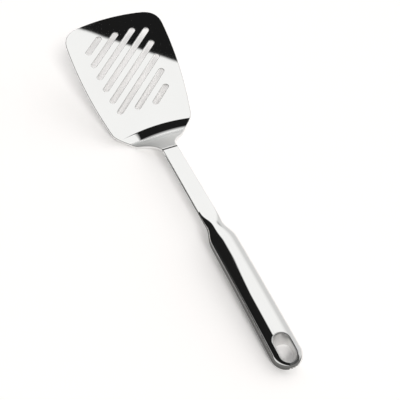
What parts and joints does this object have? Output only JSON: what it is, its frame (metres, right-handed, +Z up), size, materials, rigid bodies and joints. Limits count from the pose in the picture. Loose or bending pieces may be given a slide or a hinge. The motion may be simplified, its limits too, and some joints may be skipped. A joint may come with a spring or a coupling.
{
  "type": "slotted kitchen turner",
  "caption": "Slotted kitchen turner in polished steel: flat blade with diagonal slots, bent neck, thin shank and a hollow rounded handle with an oval hanging hole.",
  "frame": {"origin": "on the table under the middle of the turner's length and width, as it lies at rest on its heel and its handle's end", "axes": "+Z up, +X along the turner from the blade's front edge to the handle's end, +Y across the blade"},
  "size_m": [0.3632, 0.078, 0.0502],
  "materials": {
    "blade_steel": "mirror polished",
    "handle_steel": "mirror polished",
    "sleeve_steel": "polished"
  },
  "bodies": {
    "root": {"turner_blade": "blade_steel", "handle_upper_shell": "handle_steel", "handle_lower_shell": "handle_steel", "hang_hole_sleeve": "sleeve_steel"}
  },
  "joints": []
}
